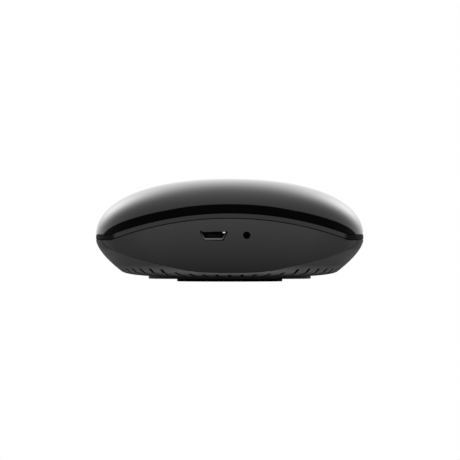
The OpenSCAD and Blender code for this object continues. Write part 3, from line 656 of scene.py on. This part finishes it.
class BLASTER_OT_socket(bpy.types.Operator):
    """Builds the socket's stamped shell with a rolled mouth, and the spring leaf in it"""
    bl_idname = "blaster.socket"
    bl_label = "Socket shell"

    def execute(self, context):
        # Outline growth and place along the shell, from the back over the rolled mouth and back inside
        mouth, middle = SOCKET_FRONT + MOUTH_ROLL, SOCKET_BACK - 2.8
        steps = [(0, SOCKET_BACK), (0, middle), (0, mouth)]
        steps += [((cos(a) - 1) * SHEET / 2, mouth - MOUTH_ROLL * sin(a))
                  for a in np.linspace(0, pi, 9)[1:-1]]
        steps += [(-SHEET, mouth), (-SHEET, middle), (-SHEET, SOCKET_BACK), (0, SOCKET_BACK)]
        rows = []
        for grow, y in steps:
            ring = grown(socket_outline(0), grow)
            # The lower lip is folded double, so its inner side lies higher
            ring[:, 1] = np.maximum(ring[:, 1], ring[:, 1].min() + LIP_LIFT * grow / -SHEET)
            ring = closed(ring)
            rows.append(np.column_stack([ring[:, 0] - SOCKET_X, np.full(len(ring), y), ring[:, 1] + PORT_Z]))
        shell, _ = folded_sheet("socket_shell", np.array(rows))
        close_up(shell, 40)
        dressed(shell, "socket_steel")
        finish_piece(shell, "socket_steel", "usb_shell")

        # The spring leaf that grips a plug, bent down from the shell's roof
        roof = PORT_Z + SOCKET_H / 2 - SHEET + 0.02
        columns = [[(LEAF_X + side * LEAF_HALF, SOCKET_FRONT + back, roof - dip - LEAF_T * under)
                    for side, under in ((-1, 0), (-1, 1), (1, 1), (1, 0), (-1, 0))]
                   for back, dip in LEAF_BEND]
        caps = [np.tile(np.mean(columns[i][:4], axis=0), (5, 1)) for i in (0, -1)]
        leaf, _ = folded_sheet("spring_leaf", np.array([caps[0], *columns, caps[1]]))
        close_up(leaf, 30)
        # The leaf's white finish is a painted highlight, the glint inside the socket
        dressed(leaf, "rubbed_steel")
        finish_piece(leaf, "socket_steel")
        return {"FINISHED"}


def disc(name, radius, low, thick, edge, seat_r=0.0, seat_h=0.0):
    """A disc in millimetres with a softened lower rim and, where asked, a round seat in its underside."""
    deselect_all()
    bpy.ops.mesh.primitive_cylinder_add(vertices=240, radius=radius * MM, depth=thick * MM,
                                        end_fill_type="NGON", location=(0, 0, (low + thick / 2) * MM))
    piece = bpy.context.object
    piece.name = piece.data.name = name
    bpy.ops.object.transform_apply(location=True, rotation=True, scale=True)
    bpy.ops.object.mode_set(mode="EDIT")
    bpy.ops.mesh.select_mode(type="FACE")
    bpy.ops.mesh.select_all(action="DESELECT")
    mesh = bmesh.from_edit_mesh(piece.data)
    under = min((f for f in mesh.faces if len(f.verts) > 4), key=lambda f: f.calc_center_median().z)
    under.select_set(True)
    if seat_r:
        bpy.ops.mesh.inset(thickness=(radius - seat_r) * MM)
        bpy.ops.mesh.extrude_region_move(TRANSFORM_OT_translate={"value": (0, 0, seat_h * MM)})
    bpy.ops.mesh.select_all(action="DESELECT")
    mesh = bmesh.from_edit_mesh(piece.data)
    for rim in mesh.edges:
        ends = [v.co for v in rim.verts]
        if all(abs(v.z - low * MM) < 1e-6 and abs(v.xy.length - radius * MM) < 1e-6 for v in ends):
            rim.select_set(True)
    bpy.ops.mesh.bevel(offset=edge * MM, offset_type="OFFSET", segments=4, profile=0.5)
    bpy.ops.object.mode_set(mode="OBJECT")
    close_up(piece, 50)
    return piece


class BLASTER_OT_foot(bpy.types.Operator):
    """Builds the base plate with the foot pad's seat, and the soft foot pad in it"""
    bl_idname = "blaster.foot"
    bl_label = "Base plate and foot pad"

    def execute(self, context):
        plate = disc("base_disc", PLATE_R, PLATE_LOW, PLATE_TOP - PLATE_LOW, PLATE_ROUND,
                     PAD_R + SEAT_GAP, PAD_T - PLATE_LOW)
        dressed(plate, "plate_plastic")
        finish_piece(plate, "plate_plastic", "base_plate")
        pad = disc("foot_disc", PAD_R, 0, PAD_T, PAD_ROUND)
        dressed(pad, "foot_rubber")
        finish_piece(pad, "foot_rubber", "foot_pad")
        return {"FINISHED"}


class BLASTER_OT_finishes(bpy.types.Operator):
    """Gives the carried-over parts inside the case their finishes"""
    bl_idname = "blaster.finishes"
    bl_label = "Finishes of the inner parts"

    def execute(self, context):
        made = {}
        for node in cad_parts.values():
            for place in node.material_slots:
                kind = place.material.name.split(".")[0]
                # The switch behind the pinhole is painted near black as shade
                if node.name in BEHIND_PINHOLE:
                    kind = "painted_shade_sheet"
                if kind not in made:
                    made[kind] = finish(kind)
                place.material = made[kind]
        return {"FINISHED"}


def socket_outline(grow, top=SOCKET_H / 2):
    """The socket's outline with rounded corners, as points round its middle in millimetres."""
    h, w, base = SOCKET_H / 2, SOCKET_W / 2, SOCKET_BASE / 2
    knee = min(h - SOCKET_SIDE, top - 0.1)
    sharp = [(-base, -h), (base, -h), (w, knee), (w, top), (-w, top), (-w, knee)]
    # A low top leaves little room beside it for the upper corners
    radii = [0.42, 0.42] + ([0.3, 0.16, 0.16, 0.3] if top > h - SOCKET_SIDE / 2 else [0.045] * 4)
    points = []
    for i, (place, radius) in enumerate(zip(sharp, radii)):
        here = np.array(place)
        back = np.array(sharp[i - 1]) - here
        ahead = np.array(sharp[(i + 1) % len(sharp)]) - here
        back, ahead = back / np.hypot(*back), ahead / np.hypot(*ahead)
        for t in np.linspace(0, 1, 6):
            points.append(here + back * radius * (1 - t) ** 2 + ahead * radius * t ** 2)
    return grown(np.array(points), grow)


def ring_outline(radius, count):
    """Points round a circle."""
    turn = np.arange(count) * 2 * pi / count
    return np.column_stack([np.cos(turn), np.sin(turn)]) * radius


def grown(outline, grow):
    """The outline moved outwards by a distance, along its own normals."""
    ahead = np.roll(outline, -1, axis=0) - np.roll(outline, 1, axis=0)
    ahead /= np.linalg.norm(ahead, axis=1)[:, None]
    return outline + np.column_stack([ahead[:, 1], -ahead[:, 0]]) * grow


def closed(outline):
    """The outline with its first point again at its end."""
    return np.vstack([outline, outline[:1]])


def add_node(tree, kind, settings=None, **links):
    """Adds a node, sets its properties and inputs, and links sockets to the inputs named. An input's
    number stands after an underscore, and other underscores are spaces."""
    node = tree.nodes.new(kind)
    for key, value in (settings or {}).items():
        if hasattr(node, key):
            setattr(node, key, value)
        else:
            node.inputs[key].default_value = value
    for key, socket in links.items():
        tree.links.new(socket, node.inputs[int(key[1:]) if key[0] == "_" else key.replace("_", " ")])
    return node


def new_material(name):
    material = bpy.data.materials.new(name)
    material.use_nodes = True
    material.node_tree.nodes.clear()
    return material, material.node_tree


def tinted(tree, low, high, share):
    """A blend of two colours, driven by a texture."""
    tint = add_node(tree, "ShaderNodeMix", {"data_type": "RGBA"}, _0=share)
    tint.inputs[6].default_value = (*low, 1)
    tint.inputs[7].default_value = (*high, 1)
    return tint.outputs[2]


def surfaced(tree, settings, colour, texture, roughness, spread, relief, bump):
    """A Principled surface with a colour, roughness that varies with a texture, and a fine relief."""
    rough = add_node(tree, "ShaderNodeMapRange", {"To Min": roughness * (1 - spread),
                                                  "To Max": min(1, roughness * (1 + spread))}, Value=texture)
    bumps = add_node(tree, "ShaderNodeBump", {"Strength": 1.0, "Distance": bump * MM}, Height=relief)
    shader = add_node(tree, "ShaderNodeBsdfPrincipled", settings, Base_Color=colour,
                      Roughness=rough.outputs["Result"], Normal=bumps.outputs["Normal"])
    add_node(tree, "ShaderNodeOutputMaterial", Surface=shader.outputs["BSDF"])


def moulded(name, colour, roughness, grain_mm, bump, level=0.5, coat=0.0, patch=0.06):
    """Moulded plastic: an even colour with faint cloudiness, and the fine texture of its mould."""
    material, tree = new_material(name)
    place = add_node(tree, "ShaderNodeTexCoord").outputs["Object"]
    cloud = add_node(tree, "ShaderNodeTexNoise", {"Scale": 1 / (CLOUD * MM), "Detail": 3.0}, Vector=place)
    grain = add_node(tree, "ShaderNodeTexNoise", {"Scale": 1 / (grain_mm * MM), "Detail": 2.0}, Vector=place)
    tint = tinted(tree, [c * (1 - patch) for c in colour], [min(1, c * (1 + patch)) for c in colour],
                  cloud.outputs["Fac"])
    surfaced(tree, {"Specular IOR Level": level, "Coat Weight": coat}, tint, cloud.outputs["Fac"],
             roughness, 0.07, grain.outputs["Fac"], bump)
    return material


def worked(name, colour, roughness, grain_mm, stretch, bump):
    """Sheet or wire: one colour with the fine lines or clouding that working the metal leaves."""
    material, tree = new_material(name)
    place = add_node(tree, "ShaderNodeTexCoord")
    drawn = add_node(tree, "ShaderNodeMapping", {"Scale": stretch}, Vector=place.outputs["Object"])
    lines = add_node(tree, "ShaderNodeTexNoise", {"Scale": 1 / (grain_mm * MM), "Detail": 3.0},
                     Vector=drawn.outputs["Vector"]).outputs["Fac"]
    tint = tinted(tree, [c * 0.85 for c in colour], [min(1, c * 1.1) for c in colour], lines)
    surfaced(tree, {"Metallic": 1.0}, tint, lines, roughness, 0.2, lines, bump)
    return material


def shaded(material, *stops):
    """Scales a finish's colour along an axis, painting light and shade into it. Each stop is an axis, two
    places on it and their shares.
    """
    if not stops:
        return material
    tree = material.node_tree
    shader = next(n for n in tree.nodes if n.type == "BSDF_PRINCIPLED")
    place = add_node(tree, "ShaderNodeTexCoord")
    split = add_node(tree, "ShaderNodeSeparateXYZ", Vector=place.outputs["Object"])
    for axis, low, high, start, end in stops:
        share = add_node(tree, "ShaderNodeMapRange",
                         {"From Min": low * MM, "From Max": high * MM, "To Min": start, "To Max": end},
                         Value=split.outputs[axis])
        colour = shader.inputs["Base Color"]
        shade = add_node(tree, "ShaderNodeMix", {"data_type": "RGBA", "blend_type": "MULTIPLY"},
                         _6=colour.links[0].from_socket, _7=share.outputs["Result"])
        shade.inputs[0].default_value = 1.0
        tree.links.new(shade.outputs[2], colour)
    return material


# Moulded finishes by slot: material name, colour, roughness, size of the grain and its relief in
# millimetres, then the specular level, coat and cloudiness where they aren't plain
MOULDED = {
    # Polycarbonate moulded in a mirror-polished tool: a wet-looking black dome with sharp reflections
    "cover_plastic": ("polished_polycarbonate", "cover", 0.06, 3.0, 0.0006),
    # The same moulding over the port face, near black with hardly any reflection: painted shade for the dark
    # reflection of the room in front
    "window_plastic": ("deep_black_polycarbonate", "window", 0.09, 3.0, 0.0006, 0.015),
    # ABS from a finely blasted mould: a soft satin line over the port face; the black round the sides and
    # back is painted shade from the seam's shadow
    "trim_plastic": ("satin_blasted_abs", "trim", 0.7, 0.3, 0.004, 0.06),
    # ABS from a spark-eroded mould: a fine grain that scatters the light. Painted light makes it paler low
    # down, where the floor shades it, and painted shade makes it darker high on the flank
    "housing_plastic": ("spark_textured_abs", "housing", 0.6, 0.3, 0.010, 0.15),
    # The same moulding's hidden inner side and slot walls, left rough from the mould, and near black as
    # painted shade
    "unlit_plastic": ("rough_inner_abs", "#050505", 0.8, 0.3, 0.010, 0.03),
    # The port face is a lit copy of the housing's moulding, lighter as painted light, with painted shade that
    # darkens it towards its lower edge and its ends
    "port_plastic": ("fine_spark_textured_abs", "port", 0.5, 0.3, 0.006, 0.25),
    # The same process in a darker batch
    "plate_plastic": ("spark_textured_plate_abs", "plate", 0.5, 0.35, 0.010, 0.3),
    # Pressed silicone rubber: dull and slightly mottled
    "foot_rubber": ("pressed_silicone_rubber", "rubber", 0.75, 0.4, 0.012, 0.3),
    # Black nylon mouldings of the connector and of the switch: flat black with a faint sheen
    "connector_plastic": ("moulded_nylon", "#060606", 0.5, 0.5, 0.003, 0.1),
    "plunger_plastic": ("moulded_acetal", "#030303", 0.6, 0.5, 0.003, 0.03),
    # Transfer-moulded epoxy of the chips: matte near-black with a fine grit
    "chip_epoxy": ("moulded_chip_epoxy", "#1a1a1b", 0.55, 0.2, 0.006, 0.4),
    # Pressed and fired powder: dark grey, grainy and dull
    "ferrite": ("pressed_ferrite", "#2b2b2d", 0.7, 0.15, 0.012),
    # Fired ceramic blocks: tan and dull
    "chip_ceramic": ("fired_ceramic", "#9c8a6e", 0.6, 0.15, 0.006),
    # White moulded lamp body
    "lamp_plastic": ("moulded_white_lamp", "#e6e3da", 0.4, 0.3, 0.003),
    # Cast epoxy lens with a smoky tint: smooth and glossy
    "lens_epoxy": ("cast_smoky_epoxy", "#474c60", 0.08, 2.0, 0.001, 0.5, 0.5),
    # Glass-fibre laminate under solder mask: glossy green or blue with the weave just showing
    "board_laminate": ("green_masked_laminate", "#1f5c3a", 0.3, 0.5, 0.006, 0.5, 0.0, 0.15),
    "radio_laminate": ("blue_masked_laminate", "#173a5e", 0.3, 0.5, 0.006, 0.5, 0.0, 0.15),
    # The switch's cover is painted near black as shade, so nothing shines behind the pinhole
    "painted_shade_sheet": ("blackened_switch_sheet", "#020202", 0.8, 0.4, 0.003, 0.02),
}

# Worked metals by slot: material name, colour, roughness, size of the lines, their stretch and relief
WORKED = {
    # Stamped and plated steel, with painted shade that darkens it towards the top of its mouth
    "socket_steel": ("stamped_plated_steel", "#77777a", 0.36, 0.4, (1, 8, 1), 0.001),
    # The same steel painted white, a painted highlight for the glint on the spring leaf
    "rubbed_steel": ("rubbed_plated_steel", "#ffffff", 0.3, 0.4, (1, 8, 1), 0.0005),
    # Zinc-plated steel screws: bright with a slight haze
    "screw_steel": ("zinc_plated_steel", "#b9bbbf", 0.3, 0.5, (1, 1, 1), 0.002),
    # Gold flash over copper alloy contacts, its colour darkened as painted shade inside the socket
    "contact_brass": ("gold_flashed_contact", "#3a2f1a", 0.45, 0.3, (1, 6, 1), 0.001),
    # Thin stamped and tinned sheet of the radio's shield can: pale, with fine lines from rolling
    "shield_tin": ("stamped_tinned_sheet", "#bcbec1", 0.32, 0.8, (6, 1, 1), 0.002),
    # Tinned wire, drawn along its length
    "lead_tin": ("tinned_drawn_wire", "#c4c5c7", 0.3, 0.3, (1, 1, 6), 0.001),
    # Drawn aluminium can with faint rings up its side
    "can_aluminium": ("drawn_aluminium_can", "#c0c3c8", 0.28, 0.6, (1, 1, 8), 0.001),
}

# Painted light and shade: changes of a finish's colour along an axis, as two places in millimetres and their
# shares
SHADES = {
    # The trim: painted shade, near black behind the front of the case
    "trim_plastic": (("Y", -19.8, -18.4, 1, 0.02),),
    # The housing: painted light low down against the floor's shade, and painted shade high on the flank
    "housing_plastic": (("Z", 9.2, 10, 1.7, 0.3), ("Z", 5, 9, 1.4, 1), ("Z", 1.8, 5, 4.5, 1)),
    # The port face: painted shade, darker towards its lower edge and towards its ends
    "port_plastic": (("Z", 3, 19, 0.17, 1), ("Y", -28, -19, 1, 0.25)),
    # The socket's shell: painted shade, darker towards the top of its mouth
    "socket_steel": (("Z", 13, 14.6, 1, 0.03),),
}


def finish(kind):
    """A new material of one kind. Its colour is an sRGB hex value or the name of a finish property."""
    make, (name, colour, *rest) = (moulded, MOULDED[kind]) if kind in MOULDED else (worked, WORKED[kind])
    paint = hex_colour(colour) if colour[0] == "#" else getattr(bpy.context.scene.blaster_finishes, colour)
    return shaded(make(name, paint, *rest), *SHADES.get(kind, ()))


# The studio: azimuth and rise of each panel, its tightness and its strength
PANELS = ((-21.5, 21, 36.6, 2.18), (21.5, 21, 36.6, 2.18), (0, 0.7, 18.6, 0.63))
ROOM_LEVEL, DIFFUSE_LEVEL = 0.56, 0.65
# The lamp's place and diameter in metres, its power in watts, and the height that it aims at
LAMP_SPOT, LAMP_SIZE, LAMP_POWER, LAMP_AIM = (0.05, -0.25, 1.1), 1.0, 4.5, 0.015
# The picture's width in pixels, its pixels in a millimetre, and the pixels of the axis and of the ground
FRAME, PX_PER_MM, AXIS_PX, GROUND_PX = 460, 3.35, 229.7, 281.4
CAMERA_DISTANCE, SENSOR = 2.0, 36
# The floor's size in metres, and how far the soft foot sinks into it, so the two never share a plane
FLOOR_SIZE, FOOT_SINK = 12, 0.03


class BLASTER_OT_stage(bpy.types.Operator):
    """Sets up the pale floor, the soft studio light and the camera"""
    bl_idname = "blaster.stage"
    bl_label = "Studio"

    def execute(self, context):
        self.floor(context)
        self.studio_world(context)
        lamp = bpy.data.lights.new("overhead_softbox", "AREA")
        lamp.shape, lamp.size, lamp.energy = "DISK", LAMP_SIZE, LAMP_POWER
        holder = bpy.data.objects.new("overhead_softbox", lamp)
        holder.location = LAMP_SPOT
        aim = Vector((0, 0, LAMP_AIM)) - Vector(LAMP_SPOT)
        holder.rotation_euler = aim.to_track_quat("-Z", "Y").to_euler()
        # The panels give the reflections, so the lamp only fills in
        holder.visible_camera = holder.visible_glossy = False
        context.scene.collection.objects.link(holder)

        lens = bpy.data.cameras.new("camera")
        lens.sensor_width = SENSOR
        lens.lens = SENSOR * CAMERA_DISTANCE / (FRAME / PX_PER_MM * MM)
        lens.clip_end = 50
        camera = bpy.data.objects.new("camera", lens)
        camera.location = ((FRAME / 2 - AXIS_PX) / PX_PER_MM * MM, -CAMERA_DISTANCE,
                           (GROUND_PX - FRAME / 2) / PX_PER_MM * MM)
        camera.rotation_euler = (pi / 2, 0, 0)
        context.scene.collection.objects.link(camera)
        context.scene.camera = camera
        context.scene.view_settings.view_transform = "Standard"
        return {"FINISHED"}

    def floor(self, context):
        """A floor that is plain white for the camera, and shows its paint where the object shades it."""
        deselect_all()
        bpy.ops.mesh.primitive_plane_add(size=FLOOR_SIZE, location=(0, 0, FOOT_SINK * MM))
        floor = context.object
        floor.name = floor.data.name = "studio_floor"
        material, tree = new_material("pale_floor")
        paint = add_node(tree, "ShaderNodeBsdfDiffuse", {"Color": (0.9, 0.9, 0.9, 1)})
        glow = add_node(tree, "ShaderNodeEmission", {"Strength": 1.0})
        open_sky = add_node(tree, "ShaderNodeAmbientOcclusion", {"samples": 16, "Distance": 0.016})
        ease = add_node(tree, "ShaderNodeMapRange",
                        {"interpolation_type": "SMOOTHSTEP", "From Min": 0.2, "From Max": 0.7,
                         "To Min": 0.68, "To Max": 1.0}, Value=open_sky.outputs["AO"])
        # At a glancing angle the floor's sheen is as bright as the backdrop and covers the shade
        sheen = add_node(tree, "ShaderNodeLayerWeight", {"Blend": 0.5})
        glance = add_node(tree, "ShaderNodeMapRange", {"From Min": 0.93, "From Max": 0.98},
                          Value=sheen.outputs["Facing"])
        bright = math(tree, "MAXIMUM", ease.outputs["Result"], glance.outputs["Result"])
        rays = add_node(tree, "ShaderNodeLightPath")
        share = math(tree, "MULTIPLY", rays.outputs["Is Camera Ray"], bright)
        blend = add_node(tree, "ShaderNodeMixShader", _0=share, _1=paint.outputs[0], _2=glow.outputs[0])
        # From below the floor is clear, so the underside can be looked at
        side = add_node(tree, "ShaderNodeNewGeometry")
        clear = add_node(tree, "ShaderNodeBsdfTransparent")
        both = add_node(tree, "ShaderNodeMixShader", _0=side.outputs["Backfacing"], _1=blend.outputs[0],
                        _2=clear.outputs[0])
        add_node(tree, "ShaderNodeOutputMaterial", Surface=both.outputs[0])
        floor.data.materials.append(material)

    def studio_world(self, context):
        """A white room for the camera, with three soft panels behind the object for its reflections."""
        world = bpy.data.worlds.new("studio")
        world.use_nodes = True
        tree = world.node_tree
        tree.nodes.clear()
        rays = add_node(tree, "ShaderNodeLightPath")
        place = add_node(tree, "ShaderNodeTexCoord")
        total = ROOM_LEVEL
        for azimuth, rise, power, strength in PANELS:
            aim = add_node(tree, "ShaderNodeVectorMath", {"operation": "DOT_PRODUCT"},
                           _0=place.outputs["Generated"])
            a, e = radians(azimuth), radians(rise)
            aim.inputs[1].default_value = (sin(a) * cos(e), cos(a) * cos(e), sin(e))
            spot = math(tree, "POWER", math(tree, "MAXIMUM", aim.outputs["Value"], 0.0), power)
            total = math(tree, "ADD", math(tree, "MULTIPLY", spot, strength), total)
        # Camera rays see plain white, glossy ones the panels, and diffuse ones a low even level
        glossy = math(tree, "MAXIMUM", rays.outputs["Is Glossy Ray"], rays.outputs["Is Transmission Ray"])
        soft = math(tree, "MULTIPLY", math(tree, "SUBTRACT", 1.0, glossy), DIFFUSE_LEVEL)
        level = math(tree, "ADD", math(tree, "MULTIPLY", total, glossy), soft)
        seen = rays.outputs["Is Camera Ray"]
        level = math(tree, "ADD", math(tree, "MULTIPLY", level, math(tree, "SUBTRACT", 1.0, seen)), seen)
        sky = add_node(tree, "ShaderNodeBackground", {"Color": (1, 1, 1, 1)}, Strength=level)
        add_node(tree, "ShaderNodeOutputWorld", Surface=sky.outputs[0])
        context.scene.world = world


def math(tree, kind, a, b):
    """A sum of two sockets or numbers."""
    node = add_node(tree, "ShaderNodeMath", {"operation": kind})
    for i, value in enumerate((a, b)):
        if isinstance(value, (int, float)):
            node.inputs[i].default_value = value
        else:
            tree.links.new(value, node.inputs[i])
    return node.outputs[0]


class BLASTER_PT_panel(bpy.types.Panel):
    """Lists the builder's sizes, finishes and pieces"""
    bl_label = "Infrared Blaster"
    bl_idname = "BLASTER_PT_panel"
    bl_space_type = "VIEW_3D"
    bl_region_type = "UI"
    bl_category = "Blaster"

    def draw(self, context):
        for group in (context.scene.blaster_sizes, context.scene.blaster_finishes):
            for name in group.__annotations__:
                self.layout.prop(group, name)
        for step in STEPS:
            self.layout.operator(step.bl_idname)


STEPS = (BLASTER_OT_cover, BLASTER_OT_trim, BLASTER_OT_housing, BLASTER_OT_socket, BLASTER_OT_foot,
         BLASTER_OT_finishes, BLASTER_OT_stage)
CLASSES = (BlasterSizes, BlasterFinishes, *STEPS, BLASTER_PT_panel)


def register():
    for cls in CLASSES:
        bpy.utils.register_class(cls)
    bpy.types.Scene.blaster_sizes = PointerProperty(type=BlasterSizes)
    bpy.types.Scene.blaster_finishes = PointerProperty(type=BlasterFinishes)


def unregister():
    del bpy.types.Scene.blaster_finishes
    del bpy.types.Scene.blaster_sizes
    for cls in reversed(CLASSES):
        bpy.utils.unregister_class(cls)


def main():
    register()
    bpy.ops.blaster.cover()
    bpy.ops.blaster.trim()
    bpy.ops.blaster.housing()
    bpy.ops.blaster.socket()
    bpy.ops.blaster.foot()
    bpy.ops.blaster.finishes()
    bpy.ops.blaster.stage()


if __name__ == "__main__":
    main()
